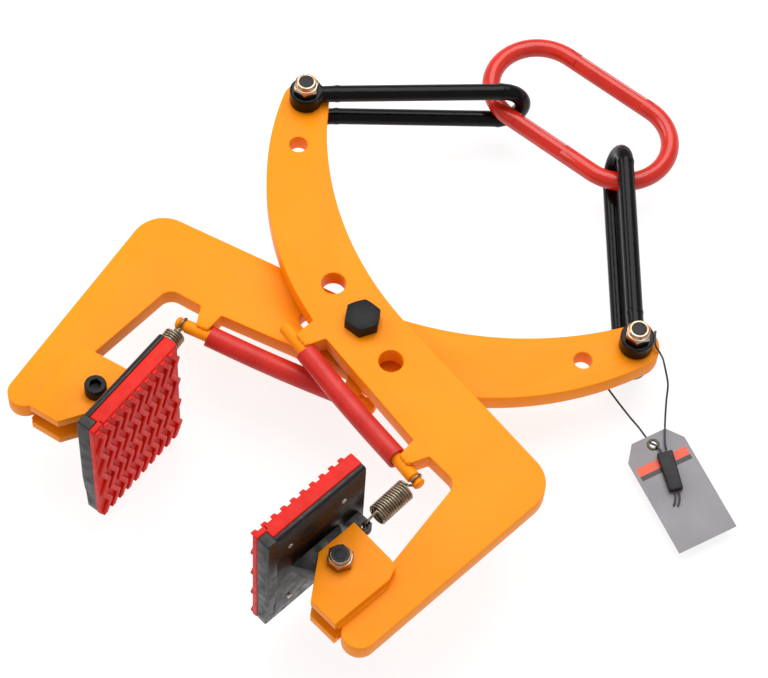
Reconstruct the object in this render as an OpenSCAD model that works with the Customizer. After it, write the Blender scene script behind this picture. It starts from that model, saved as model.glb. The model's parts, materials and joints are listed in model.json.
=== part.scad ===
// Slab lifting clamp: two crossed arms on one pivot bolt, swivelling rubber pads in
// forked jaws, welded handles, and two shackle links that meet in a master link.
// It lies as in use on a bench: plates flat, master link towards +Y, pads towards -Y.

/* [Arms] */
// Thickness of each arm plate
arm_t = 15; // [12:1:18]
// Horn bolt, sideways from the main pivot
horn_reach = 157; // [150:1:164]
// Horn bolt, from the main pivot towards the master link
horn_rise = 124.4; // [118:0.2:130]
// Radius of the horn's rounded end
horn_r = 17.6; // [16:0.2:19]
// Radius of the arm's inner curve
inner_r = 268; // [250:1:290]
// Radius of the arm's outer curve
outer_r = 240; // [230:1:260]
// Distance from the pivot to the straight back edge
back_rise = 24.6; // [22:0.2:28]
// Slope of the back edge, in degrees
back_slope = 11.7; // [9:0.1:14]
// Outer corner, sideways from the main pivot
shoulder_reach = 189.3; // [185:0.1:195]
// Radius of the outer corner
corner_r = 25; // [15:1:32]
// Radius of the inside corner of the throat
throat_r = 10; // [5:1:14]
// Depth of the throat's corner below the pivot
throat_drop = 59.2; // [57:0.2:62]
// Radius of the leg's rounded tip
leg_tip_r = 12.6; // [11:0.1:14]

/* [Main pivot] */
// Diameter of the pivot bolt
pivot_d = 16; // [12:1:18]
// Wall of the pivot bush
bush_wall = 1; // [0.8:0.1:1.6]
// Thickness of the washer between the arms
spacer_t = 6; // [5:0.5:8]
// Outside diameter of the washer between the arms
spacer_d = 40; // [34:1:44]
// Distance from the pivot to each spare pivot hole
spare_pitch = 38.5; // [36:0.5:42]
// Direction of the row of pivot holes, in degrees
spare_angle = -18.2; // [-22:0.2:-14]

/* [Jaws] */
// Jaw bolt, sideways from the main pivot
jaw_reach = 112.5; // [108:0.5:117]
// Jaw bolt, below the main pivot
jaw_drop = 161.5; // [157:0.5:170]
// Thickness of each cheek plate
cheek_t = 8; // [6:1:10]
// Diameter of the jaw bolt
jaw_bolt_d = 10; // [8:1:12]

/* [Pads] */
// Length of a pad
pad_len = 92; // [84:1:96]
// Height of a pad's rubber
rubber_h = 120; // [110:1:130]
// Thickness of the rubber face
rubber_t = 4.7; // [4:0.1:7]
// Height of the tread bars
tread_h = 2.5; // [2:0.5:3.5]
// Number of tread bars along the pad
tread_count = 10; // [7:1:12]
// Height of the rubber's upper and lower lip
lip_t = 5.5; // [4:0.5:8]
// How far a lip reaches back over the backing plate
lip_depth = 6.4; // [4:0.2:8]
// Thickness of the steel backing
backing_t = 11; // [9.6:0.2:13]
// Distance from the jaw bolt to the backing
pad_offset = 23; // [20:0.5:26]
// Lean of the first side's pad, in degrees
pad_lean_a = 6.5; // [0:0.5:8]
// Lean of the second side's pad, in degrees
pad_lean_b = 2.5; // [0:0.5:8]

/* [Handles] */
// Diameter of the handle rod
rod_d = 10; // [8:0.5:11]
// Slope of the handle rod, in degrees
rod_slope = 13.6; // [12:0.2:15]
// Depth of the rod below the pivot
rod_drop = 46.4; // [45:0.2:49]
// Gap from the rod's centre line to the notch edge
notch_gap = 15.6; // [14:0.2:17]
// Outside diameter of the rubber sleeve
sleeve_d = 15; // [13:0.5:15]

/* [Springs] */
// Outside diameter of the coil
coil_d = 16; // [13:0.5:18]
// Diameter of the spring wire
wire_d = 2; // [1.5:0.1:2.2]

/* [Links] */
// Diameter of the link's bar
bar_d = 12.6; // [11:0.2:12.8]
// Outside diameter of an eye
eye_d = 25; // [23:0.5:27]
// Thickness of an eye
eye_t = 13.4; // [13.2:0.2:15]
// Diameter of the link bolt
link_bolt_d = 10; // [8:1:12]
// Diameter of the spare hole in each horn
spare_hole_d = 13.7; // [11:0.1:14]
// Height between the two legs of the first link, at its bend
link_rise = 35; // [34:0.5:38]

/* [Master link] */
// Middle of the master link, from the main pivot
ring_reach = 262; // [255:1:270]
// Middle of the master link, sideways from the main pivot
ring_shift = 2; // [-4:0.5:6]
// Length of the opening
ring_len = 139; // [130:1:148]
// Width of the opening
ring_w = 61; // [57:1:68]
// Diameter of the bar
ring_bar_d = 14; // [12:0.5:14]
// Depth of the flat on each long side
ring_flat = 0.6; // [0.2:0.1:1.2]

/* [Tag] */
// Width of the tag
tag_w = 46.6; // [40:0.2:52]
// Length of the tag
tag_len = 90.4; // [84:0.2:100]
// Thickness of the tag
tag_t = 0.7; // [0.5:0.1:1.2]
// Diameter of the tag's wire rope
cable_d = 1.5; // [1.2:0.1:1.8]

/* [Hidden] */
$fn = 48;

// Running play between faces that move past each other
play = 0.25;
// Radial play of a shaft in its bore
run_fit = 0.05;
// Radial play of a bolt in a plain hole
hole_fit = 0.5;
// Overlap that joins two forms of one solid
eps = 0.01;
full_turn = 360;

// The second arm is the first one mirrored, one plate and one spacer lower
level_drop = arm_t + spacer_t + 2 * play;

// Points of the arm
horn = [-horn_reach, horn_rise];
jaw = [jaw_reach, -jaw_drop];
leg_tip = jaw + [42, -29.5];
corner = [shoulder_reach, back_y(shoulder_reach)];
throat = [jaw[0] + 21.1, -throat_drop];

// The straight back edge and the centre of the inner curve, which touches both the
// back edge and the horn's round end
back_dir = [cos(back_slope), -sin(back_slope)];
back_up = [sin(back_slope), cos(back_slope)];
inner_base = back_up * (back_rise + inner_r);
inner_along = (inner_base - horn) * back_dir;
inner_rest = pow(norm(inner_base - horn), 2) - pow(inner_r + horn_r, 2);
inner_c = inner_base + back_dir * (sqrt(pow(inner_along, 2) - inner_rest) - inner_along);

// Stations along the handle rod, measured from the point below the pivot
rod_end_s = 116.9;
rod_start_s = -44.2;
neck_s = 111.5;
neck_w = 3.6;
neck_d = rod_d - 2.6;
web_s = [91, 101.6];
web_top_s = [88, 105.2];
foot_s = [-31, -18.2];
foot_top_s = [-32.7, -15];
foot_rise = 17.4;
weld_bite = rod_d / 4;
sleeve_gap = 0.6;

// The outer curve runs from a corner on the horn's round end to the foot on the rod
horn_corner_turn = 198;
horn_corner = horn + horn_r * [cos(horn_corner_turn), sin(horn_corner_turn)];
foot_top = rod_at(foot_top_s[0], foot_rise);
outer_c = meet(horn_corner, outer_r, foot_top, outer_r);

// Spare hole in the horn, along the curve from the horn bolt
horn_hole_pitch = 41.2;
horn_hole_edge = 21.4;
horn_hole_turn = atan2(horn[1] - inner_c[1], horn[0] - inner_c[0])
    + full_turn + horn_hole_pitch / (inner_r + horn_hole_edge) * 180 / PI;
horn_hole = inner_c + (inner_r + horn_hole_edge) * [cos(horn_hole_turn), sin(horn_hole_turn)];

// Pad, in its own frame: x away from the load, y along the pad towards the handle
backing_x = -pad_offset;
backing_h = rubber_h - 2 * lip_t;
backing_half = pad_len / 2 - 0.6;
lug_r = 14;
ear_at = [-12.5, 35.5];
ear_r = 5.5;
ear_t = 5;
ear_hole_d = 4.6;
screw_spread = [50, 77];
screw_d = 4;
screw_head_d = 8;

// Spring, from the ear's hole to the neck of the rod
neck_point = rod_at(neck_s, 0);
ear_hook_len = 12;
neck_hook_len = 10;
coil_pitch = wire_d + 0.12;

// Links and master link
bar_r = bar_d / 2;
ring_bar_r = ring_bar_d / 2;
ring_r = ring_w / 2 + ring_bar_r;
ring_half_gap = (ring_len - ring_w) / 2;
ring_level = (arm_t - level_drop) / 2;
ring_lag = 8.8;
ring_side = 17.8;
ring_c = [ring_shift, ring_reach];
ring_left = ring_c - [ring_half_gap, 0];

// Length of a link from its bolt to the outside of its bend, and the first one's
// direction
link_reach = norm(ring_left - horn);
link_len = sqrt(link_reach * link_reach - ring_side * ring_side)
    + bar_d + ring_bar_r - ring_r + ring_lag;
link_turn = angle_of(ring_left - horn) - asin(ring_side / link_reach);
ring_right_mirrored = [-ring_c[0] - ring_half_gap, ring_c[1]];
link_turn_b = atan2(ring_right_mirrored[1] - horn[1], ring_right_mirrored[0] - horn[0]);
slope_room = 1.5;
leg_offset = bar_r + ring_bar_r + play + slope_room;
link_drop_b = 31.7;
link_shift_b = -7.5;
eye_mid = eye_t / 2 + play;
knuckle = 0.4;
knee = horn_r + 6;

// The bench frame: the origin is the middle of the footprint, under the clamp
foot_y = min(leg_tip[1] - leg_tip_r, pad_low(pad_lean_a), pad_low(pad_lean_b));
bench_y = (ring_c[1] + ring_r + ring_bar_r - ring_flat + foot_y) / 2;
bench_z = rubber_h / 2 + level_drop - arm_t / 2;

// Hardware: head width over flats, head height
pivot_head = [1.5 * pivot_d, 0.63 * pivot_d];
link_head = [1.7 * link_bolt_d, 0.64 * link_bolt_d];
jaw_head = [1.6 * jaw_bolt_d, jaw_bolt_d];
pivot_washer_t = 3;

// The bench that carries the tag slopes under the plates, because the clamp rests
// on one pad, one horn bolt and one link
bench_slope = [0.58, 6.97];
bench_level = -59.5;
tag_foot = [282, 51.4];
tag_turn = 64.9;
tag_lift = 1.2;
tag_top_w = 27.8;
tag_shoulder = 12.3;
eyelet_at = tag_len - 7.4;
eyelet_d = 9.5;
eyelet_hole_d = 5;
seal_size = [12, 31, 5];
seal_foot = [-2.7, 42.9];
seal_turn = -12.1;

// Route of the tag's wire rope: out of the seal, over the edge of the horn, down
// behind the eyes of the second link, back under the plate and up through the eyelet
route = [[217.6, 87.2, -41.6], [213.6, 90.6, -40.1], [208.6, 97.2, -40.6], [202.1, 106.3, -39.2],
         [194.2, 117.8, -35.1], [188.3, 127.1, -31.6], [181.8, 132.6, -27.5], [177.8, 134.6, -22],
         [176.2, 133.2, -14], [174.4, 130.4, -5.2], [168.8, 131.9, -1.8], [163.5, 139, -2.2],
         [160.8, 144.2, -7], [158, 146.8, -16], [153.5, 147.8, -27], [146.5, 146, -34.6],
         [138, 141, -37.6], [131.5, 133, -38.3], [129, 123, -39.2], [132, 114, -40.6],
         [140.5, 107, -42.2], [150, 103.3, -43.2], [165.5, 98.4, -44.6], [180, 94, -45.2],
         [190, 91.3, -45.3], [203.1, 86.9, -45.6], [206.9, 86.3, -44.1], [209.5, 85.8, -42.6],
         [215.3, 84.2, -41.9]];
tail_routes = [[[242.1, 65.1, -45.5], [244.4, 62.5, -46], [246.2, 59.5, -46.8], [247.2, 56.6, -47.4]],
               [[243.6, 67.3, -45.2], [246, 65.1, -45.7], [248.3, 61.9, -46.5], [249.7, 58.4, -47.1]]];

function back_y(x) = (back_rise - x * sin(back_slope)) / cos(back_slope);
function turned(p, a) = [p[0] * cos(a) - p[1] * sin(a), p[0] * sin(a) + p[1] * cos(a)];
function rod_at(s, t) = [0, -rod_drop] + turned([s, t], -rod_slope);
function unit(v) = v / norm(v);
function pad_low(lean) = jaw[1] + min(pad_offset * sin(lean) - backing_half * cos(lean),
                                      (pad_offset + backing_t - lip_depth) * sin(lean)
                                      - pad_len / 2 * cos(lean));
function angle_of(v) = atan2(v[1], v[0]);

// Crossing of two circles, on the left of the line from the first to the second
function meet(c1, r1, c2, r2) =
    let (d = norm(c2 - c1), a = (r1 * r1 - r2 * r2 + d * d) / (2 * d),
         h = sqrt(r1 * r1 - a * a), e = (c2 - c1) / d)
    c1 + a * e + h * [-e[1], e[0]];

// Points of an arc
function arc(c, r, from, to, steps) =
    [for (i = [0 : steps]) let (a = from + (to - from) * i / steps) c + r * [cos(a), sin(a)]];

// Points that round the corner q between p and s
function rounded(p, q, s, r, steps = 8) =
    let (u = unit(p - q), v = unit(s - q), half = acos(u * v) / 2,
         c = q + unit(u + v) * r / sin(half),
         from = angle_of(q + u * r / tan(half) - c),
         swing = angle_of(q + v * r / tan(half) - c) - from,
         short = swing > 180 ? swing - full_turn : swing < -180 ? swing + full_turn : swing)
    arc(c, r, from, from + short, steps);

// Where a line from p touches the circle, as an angle at its centre
function touch_angle(p, c, r, side) = angle_of(p - c) + side * acos(r / norm(p - c));

// Directions along a path, and a normal carried along it without twist
function headings(p) =
    [for (i = [0 : len(p) - 1]) unit(p[min(i + 1, len(p) - 1)] - p[max(i - 1, 0)])];
function carried(t, first) =
    [for (i = 0, n = unit(first - (first * t[0]) * t[0]); i < len(t);
          i = i + 1, n = i < len(t) ? unit(n - (n * t[i]) * t[i]) : n) n];

// A smooth curve through the points, with a few steps between each pair
function smooth(p, steps) = concat(
    [for (i = [0 : len(p) - 2]) for (k = [0 : steps - 1])
        let (a = p[max(i - 1, 0)], b = p[i], c = p[i + 1], d = p[min(i + 2, len(p) - 1)],
             t = k / steps)
        0.5 * (2 * b + (c - a) * t + (2 * a - 5 * b + 4 * c - d) * t * t
               + (3 * b - a - 3 * c + d) * t * t * t)],
    [p[len(p) - 1]]);

// A round wire swept along a path
module wire(path, d, sides, first = [0, 0, 1]) {
    t = headings(path);
    n = carried(t, first);
    last = len(path) - 1;
    points = [for (i = [0 : last]) for (k = [0 : sides - 1])
        let (a = full_turn * k / sides) path[i] + d / 2 * (cos(a) * n[i] + sin(a) * cross(t[i], n[i]))];
    walls = [for (i = [0 : last - 1]) for (k = [0 : sides - 1])
        let (m = (k + 1) % sides)
        [i * sides + k, (i + 1) * sides + k, (i + 1) * sides + m, i * sides + m]];
    caps = [[for (k = [0 : sides - 1]) k], [for (k = [sides - 1 : -1 : 0]) last * sides + k]];
    polyhedron(points, concat(caps, walls), convexity = 4);
}

// Moves a piece of the first or the second side to its place on the bench
module on_side(second) {
    translate([0, -bench_y, bench_z])
        if (second)
            translate([0, 0, -level_drop]) mirror([1, 0, 0]) children();
        else
            children();
}

module on_bench() {
    translate([0, -bench_y, bench_z]) children();
}

// A bar with flat ends between two points
module bar(p, q, d) {
    v = q - p;
    translate(p)
        rotate([0, acos(v[2] / norm(v)), atan2(v[1], v[0])])
            cylinder(h = norm(v), d = d);
}

module at_rod(s) {
    p = rod_at(s, 0);
    translate([p[0], p[1], arm_t / 2])
        rotate([0, 0, -rod_slope])
            rotate([0, 90, 0])
                children();
}

// Outline of an arm, from the horn's tip round the back, the leg, the throat, the
// web on the handle rod, the notch for the fingers, and the foot on the rod
module arm_outline() {
    web_top = rod_at(web_top_s[1], notch_gap + 0.9);
    notch_far = rod_at(web_top_s[0], notch_gap);
    notch_near = rod_at(foot_top_s[1], notch_gap);
    tip_from = touch_angle(corner, leg_tip, leg_tip_r, -1);
    tip_to = touch_angle(throat, leg_tip, leg_tip_r, 1) - full_turn;
    horn_to = angle_of(inner_c - horn);
    polygon(concat(
        arc(horn, horn_r, horn_corner_turn, horn_to, 20),
        arc(inner_c, inner_r, horn_to + 180, 270 - back_slope, 24),
        rounded([0, back_y(0)], corner, leg_tip + leg_tip_r * [cos(tip_from), sin(tip_from)], corner_r, 14),
        arc(leg_tip, leg_tip_r, tip_from, tip_to, 18),
        rounded(leg_tip + leg_tip_r * [cos(tip_to), sin(tip_to)], throat, web_top, throat_r, 10),
        rounded(throat, web_top, rod_at(web_s[1], weld_bite), 1.5, 4),
        [rod_at(web_s[1], weld_bite), rod_at(web_s[0], weld_bite)],
        rounded(rod_at(web_s[0], weld_bite), notch_far, notch_near, 1.2, 4),
        rounded(notch_far, notch_near, rod_at(foot_s[1], weld_bite), 2, 4),
        [rod_at(foot_s[1], weld_bite), rod_at(foot_s[0], weld_bite)],
        arc(outer_c, outer_r, angle_of(foot_top - outer_c) + full_turn,
            angle_of(horn_corner - outer_c) + full_turn, 24)));
}

module arm_plate() {
    difference() {
        linear_extrude(arm_t) arm_outline();
        drill([0, 0], bush_d() / 2 + run_fit, arm_t);
        for (side = [-1, 1])
            drill(spare_pitch * side * [cos(spare_angle), sin(spare_angle)],
                  bush_d() / 2 + run_fit, arm_t);
        drill(horn, link_bolt_d / 2 + hole_fit, arm_t);
        drill(horn_hole, spare_hole_d / 2, arm_t);
        at_rod(rod_start_s)
            cylinder(h = rod_end_s - rod_start_s, d = rod_d + 0.04);
    }
}

function bush_d() = pivot_d + 2 * bush_wall;

module drill(at, r, depth) {
    translate([at[0], at[1], -1]) cylinder(h = depth + 2, r = r);
}

// Outline of a cheek plate, about the jaw bolt
module cheek_outline() {
    reach = throat[0] - jaw[0];
    polygon([[-11.3, 29], [reach + 4.9, 23.2], [reach + 10.9, 20.9], [reach + 13.6, 10.3],
             [reach + 6.8, -39], [4, -36], [-15.2, -4.3]]);
}

module cheek_plates(second) {
    reach = throat[0] - jaw[0];
    for (z = [-cheek_t, arm_t])
        difference() {
            union() {
                translate([jaw[0], jaw[1], z]) linear_extrude(cheek_t) cheek_outline();
                weld_z = z < 0 ? 0 : arm_t;
                intersection() {
                    bar([jaw[0] + reach + 13.2, jaw[1] + 8, weld_z],
                        [jaw[0] + reach + 7, jaw[1] - 37, weld_z], 4);
                    translate([jaw[0], jaw[1] - 60, z]) cube([60, 90, cheek_t]);
                }
            }
            drill(jaw, jaw_bolt_d / 2 + 0.25, 3 * arm_t);
            translate([0, 0, -2 * arm_t]) drill(jaw, jaw_bolt_d / 2 + 0.25, 3 * arm_t);
        }
}

// Rod with a neck for the spring's hook and a rounded end
module handle_rod() {
    at_rod(rod_start_s)
        rotate_extrude()
            polygon([[0, 0], [rod_d / 2 - 1, 0], [rod_d / 2, 1],
                     [rod_d / 2, neck_s - neck_w / 2 - 1 - rod_start_s],
                     [neck_d / 2, neck_s - neck_w / 2 - rod_start_s],
                     [neck_d / 2, neck_s + neck_w / 2 - rod_start_s],
                     [rod_d / 2 - 0.4, neck_s + neck_w / 2 + 0.8 - rod_start_s],
                     [rod_d / 2 - 0.4, rod_end_s - 1.2 - rod_start_s],
                     [rod_d / 2 - 1.8, rod_end_s - rod_start_s],
                     [0, rod_end_s - rod_start_s]]);
}

module handle_sleeve() {
    from = foot_s[1] + sleeve_gap;
    at_rod(from)
        difference() {
            cylinder(h = web_s[0] - sleeve_gap - from, d = sleeve_d);
            translate([0, 0, -1]) cylinder(h = web_s[0] + 2 - from, d = rod_d + 0.1);
        }
}

// Hexagon with chamfered corners on both faces or on the top only
module hexagon(af, h, both = true) {
    intersection() {
        cylinder(h = h, d = af / cos(30), $fn = 6);
        union() {
            lift = both ? h / 2 : 0;
            translate([0, 0, lift - eps]) chamfer_cone(af, h - lift + eps);
            if (both)
                translate([0, 0, lift]) mirror([0, 0, 1]) chamfer_cone(af, lift);
        }
    }
}

module chamfer_cone(af, h) {
    full = af / cos(30) / 2;
    drop = min(h, (full - af / 2) * 0.62);
    cylinder(h = h - drop, r = full + 0.2);
    translate([0, 0, h - drop - eps]) cylinder(h = drop + eps, r1 = full, r2 = af / 2 - 0.3);
}

// Bolt with its head below z = 0 and its shank upwards
module hex_bolt(d, head, shank) {
    translate([0, 0, -head[1]]) mirror([0, 0, 1]) translate([0, 0, -head[1]])
        hexagon(head[0], head[1], false);
    translate([0, 0, -eps]) cylinder(h = shank - 1 + eps, d = d);
    translate([0, 0, shank - 1 - eps]) cylinder(h = 1 + eps, d1 = d, d2 = d - 1.6);
}

module cap_screw(d, head, shank) {
    difference() {
        union() {
            translate([0, 0, -head[1] + 0.8]) cylinder(h = head[1] - 0.8, d = head[0]);
            translate([0, 0, -head[1]]) cylinder(h = 0.8 + eps, d1 = head[0] - 1.6, d2 = head[0]);
            translate([0, 0, -eps]) cylinder(h = shank - 1 + eps, d = d);
            translate([0, 0, shank - 1 - eps]) cylinder(h = 1 + eps, d1 = d, d2 = d - 1.6);
        }
        translate([0, 0, -head[1] - 1]) cylinder(h = 1 + 0.55 * head[1], d = 0.8 * d / cos(30), $fn = 6);
    }
}

// Locking nut: a hexagon, and a round collar that holds the locking ring
module lock_nut(d, af, h) {
    hex_h = 0.68 * h;
    difference() {
        union() {
            hexagon(af, hex_h);
            translate([0, 0, hex_h - 0.6]) cylinder(h = h - hex_h - 0.2, d = 0.9 * af);
            translate([0, 0, h - 0.8 - eps]) cylinder(h = 0.8 + eps, d1 = 0.9 * af, d2 = 0.8 * af);
        }
        translate([0, 0, -1]) cylinder(h = h + 2, d = d + 0.1);
    }
}

module washer(od, id, t) {
    difference() {
        cylinder(h = t, d = od);
        translate([0, 0, -1]) cylinder(h = t + 2, d = id);
    }
}

// Backing plate with its lug in the fork and the ear for the spring
module pad_backing(lean) {
    half = backing_h / 2;
    at_jaw(lean) {
        difference() {
            union() {
                translate([0, backing_half, arm_t / 2]) rotate([90, 0, 0])
                    linear_extrude(2 * backing_half)
                        polygon([[backing_x - backing_t, half], [backing_x, half],
                                 [backing_x, -0.35 * half], [backing_x - 1, -0.62 * half],
                                 [backing_x - 0.42 * backing_t, -half],
                                 [backing_x - backing_t, -half]]);
                translate([0, 0, play]) linear_extrude(arm_t - 2 * play) {
                    circle(r = lug_r);
                    polygon([[backing_x - eps, -24], [-4.8, -13.15], [-4.8, 13.15], [backing_x - eps, 22]]);
                }
                translate([0, 0, (arm_t - ear_t) / 2]) linear_extrude(ear_t) {
                    translate(ear_at) circle(r = ear_r);
                    polygon([[backing_x - eps, ear_at[1] - 9], [ear_at[0], ear_at[1] - ear_r],
                             [ear_at[0], ear_at[1] + ear_r], [backing_x - eps, ear_at[1] + 5.2]]);
                }
            }
            drill([0, 0], jaw_bolt_d / 2 + run_fit, arm_t);
            drill(ear_at, ear_hole_d / 2, arm_t);
            at_screws() translate([0, 0, -1]) cylinder(h = backing_t + 2, d = screw_d + 0.1);
        }
    }
}

module at_jaw(lean) {
    translate([jaw[0], jaw[1], 0]) rotate([0, 0, -lean]) children();
}

// Screw places, with z from the front of the backing towards the jaw bolt
module at_screws() {
    for (y = [-1, 1], z = [-1, 1])
        translate([backing_x - backing_t, y * screw_spread[0] / 2, arm_t / 2 + z * screw_spread[1] / 2])
            rotate([0, 90, 0]) children();
}

// Rubber face with lips round the backing and zigzag tread bars
module pad_rubber(lean) {
    half = rubber_h / 2;
    front = backing_x - backing_t;
    face = front - rubber_t;
    at_jaw(lean)
        difference() {
            union() {
                translate([0, pad_len / 2, arm_t / 2]) rotate([90, 0, 0])
                    linear_extrude(pad_len)
                        polygon([[front, backing_h / 2], [front + lip_depth, backing_h / 2],
                                 [front + lip_depth, half - 1], [front + lip_depth - 1, half],
                                 [face + 2, half], [face, half - 2], [face, 2 - half], [face + 2, -half],
                                 [front + lip_depth - 1, -half], [front + lip_depth, 1 - half],
                                 [front + lip_depth, -backing_h / 2], [front, -backing_h / 2]]);
                for (i = [0 : tread_count - 1])
                    translate([face + eps, (i + 0.5 - tread_count / 2) * tread_pitch(), arm_t / 2])
                        rotate([0, -90, 0]) linear_extrude(tread_h + eps) tread_bar();
            }
            at_screws() translate([0, 0, -rubber_t - tread_h - 1])
                cylinder(h = rubber_t + tread_h + 1 + eps, d = screw_head_d + 1);
        }
}

function tread_pitch() = (pad_len - 3) / tread_count;

// One bar of the tread: a zigzag along the pad's height
module tread_bar() {
    steps = 8;
    rise = rubber_h / steps;
    half_w = 0.25 * tread_pitch();
    swing = 0.38 * tread_pitch();
    polygon(concat(
        [for (i = [0 : steps]) [tread_x(i, steps, rise), (i % 2 == 0 ? -swing : swing) - half_w]],
        [for (i = [steps : -1 : 0]) [tread_x(i, steps, rise), (i % 2 == 0 ? -swing : swing) + half_w]]));
}

function tread_x(i, steps, rise) =
    i == 0 ? 1 - rubber_h / 2 : i == steps ? rubber_h / 2 - 1 : i * rise - rubber_h / 2;

module pad_screws(lean) {
    at_jaw(lean) at_screws() {
        translate([0, 0, -eps]) cylinder(h = backing_t + 0.6, d = screw_d);
        translate([0, 0, -2]) cylinder(h = 2, d = screw_head_d);
        translate([0, 0, -2.8]) cylinder(h = 0.8 + eps, d1 = screw_head_d - 2.4, d2 = screw_head_d);
    }
}

// Close-wound spring with a hook through the ear and a loop round the rod's neck
module return_spring(lean) {
    ear_point = jaw + turned(ear_at, -lean);
    spring_span = norm(neck_point - ear_point);
    coil_turns = floor((spring_span - ear_hook_len - neck_hook_len) / coil_pitch);
    coil_start = spring_span - neck_hook_len - coil_turns * coil_pitch;
    mid_r = (coil_d - wire_d) / 2;
    per_turn = 15;
    loop_r = neck_d / 2 + wire_d / 2 + 0.15;
    hook_r = ear_t;
    coil_end = coil_start + coil_turns * coil_pitch;
    ear_loop = [for (a = [200 : -20 : 0]) [(1 - sin(a)) * hook_r, 0, cos(a) * hook_r]];
    coil = [for (i = [0 : coil_turns * per_turn])
        let (a = 90 + full_turn * i / per_turn)
        [coil_start + coil_pitch * i / per_turn, mid_r * cos(a), mid_r * sin(a)]];
    neck_loop = [for (a = [200 : 20 : 500])
        [spring_span + loop_r * cos(a), 0, loop_r * sin(a)]];
    translate([ear_point[0], ear_point[1], arm_t / 2])
        rotate([0, 0, angle_of(neck_point - ear_point)])
            wire(concat(ear_loop, [[coil_start - 1.6, 0, mid_r]], coil,
                        [[coil_end + 1.2, 0, mid_r * 0.6], [coil_end + 2.4, 0, mid_r * 0.2]],
                        neck_loop),
                 wire_d, 6, [0, 1, 0]);
}

// A link: two eyes on the horn bolt, two legs and the bend round the master link
module link(turn, upper, lower, shift) {
    bend_r = norm([shift, upper - lower]) / 2;
    bend_x = link_len - bar_r - bend_r;
    tilt = atan2(shift, upper - lower);
    translate([horn[0], horn[1], 0]) rotate([0, 0, turn]) {
        difference() {
            union() {
                for (z = [-eye_mid, arm_t + eye_mid])
                    translate([0, 0, z - eye_t / 2]) cylinder(h = eye_t, d = eye_d);
                leg(arm_t + eye_mid, upper, 0, bend_x);
                leg(-eye_mid, lower, shift, bend_x);
            }
            drill_all(link_bolt_d / 2 + run_fit);
        }
        translate([bend_x, shift / 2, (upper + lower) / 2])
            rotate([tilt, 0, 0]) rotate([90, 0, 0])
                rotate([0, 0, -90]) rotate_extrude(angle = 180, $fn = 64)
                    translate([bend_r, 0]) circle(d = bar_d);
    }
}

module leg(eye_z, bend_z, shift, bend_x) {
    from = [link_bolt_d / 2 + 2, shift, eye_z];
    mid = [knee, shift, eye_z];
    to = [bend_x, shift, bend_z];
    bar(from, mid, bar_d);
    bar(mid, to, bar_d);
    for (p = [mid, to])
        translate(p) rotate([0, 90, 0]) sphere(d = bar_d + 2 * knuckle);
}

module drill_all(r) {
    translate([0, 0, -3 * arm_t]) cylinder(h = 7 * arm_t, r = r);
}

// Stadium of round bar, flattened a little along both long sides
module master_ring() {
    limit = ring_r + ring_bar_r - ring_flat;
    translate([ring_c[0], ring_c[1], ring_level])
        intersection() {
            union() {
                for (side = [-1, 1]) {
                    translate([side * ring_half_gap, 0, 0]) rotate([0, 0, -90 * side])
                        rotate_extrude(angle = 180, $fn = 64)
                            translate([ring_r, 0]) circle(d = ring_bar_d);
                    bar([-ring_half_gap - eps, side * ring_r, 0], [ring_half_gap + eps, side * ring_r, 0],
                        ring_bar_d);
                }
            }
            cube([2 * (ring_half_gap + ring_r + ring_bar_d), 2 * limit, 2 * ring_bar_d], center = true);
        }
}

// Places a piece on the tag, whose foot lies on the sloping bench
module on_tag() {
    z = bench_level + tag_foot[0] * tan(bench_slope[0]) + tag_foot[1] * tan(bench_slope[1]);
    translate([tag_foot[0], tag_foot[1], z + 0.3])
        rotate([0, -bench_slope[0], 0]) rotate([bench_slope[1], 0, 0])
            rotate([0, 0, tag_turn]) rotate([tag_lift, 0, 0])
                children();
}

module arm_a() { color("#f6a21c") on_side(false) arm_plate(); }
module arm_b() { color("#f6a21c") on_side(true) arm_plate(); }
module cheek_plates_a() { color("#f09a18") on_side(false) cheek_plates(); }
module cheek_plates_b() { color("#f09a18") on_side(true) cheek_plates(); }
module handle_rod_a() { color("#f0a030") on_side(false) handle_rod(); }
module handle_rod_b() { color("#f0a030") on_side(true) handle_rod(); }
module handle_sleeve_a() { color("#e0322c") on_side(false) handle_sleeve(); }
module handle_sleeve_b() { color("#e0322c") on_side(true) handle_sleeve(); }

// Main pivot, from the head on the first arm down to the nut under the second
module pivot_bolt() {
    color("#2b2b30") on_bench() translate([0, 0, arm_t]) mirror([0, 0, 1])
        hex_bolt(pivot_d, pivot_head, arm_t + level_drop + play + pivot_washer_t + pivot_d + 1.5);
}
module pivot_bush() {
    color("#b08d57") on_bench() translate([0, 0, -level_drop - play])
        washer(bush_d(), pivot_d + 0.1, arm_t + level_drop + play);
}
module pivot_spacer() {
    color("#9a9a98") on_bench() translate([0, 0, -play - spacer_t])
        washer(spacer_d, bush_d() + 2 * run_fit, spacer_t);
}
module pivot_washer() {
    color("#a9a9a6") on_bench() translate([0, 0, -level_drop - play - pivot_washer_t])
        washer(2 * pivot_d, pivot_d + 0.6, pivot_washer_t);
}
module pivot_nut() {
    color("#3a3a3e") on_bench()
        translate([0, 0, -level_drop - play - pivot_washer_t]) mirror([0, 0, 1])
            lock_nut(pivot_d, pivot_head[0], pivot_d);
}

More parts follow.
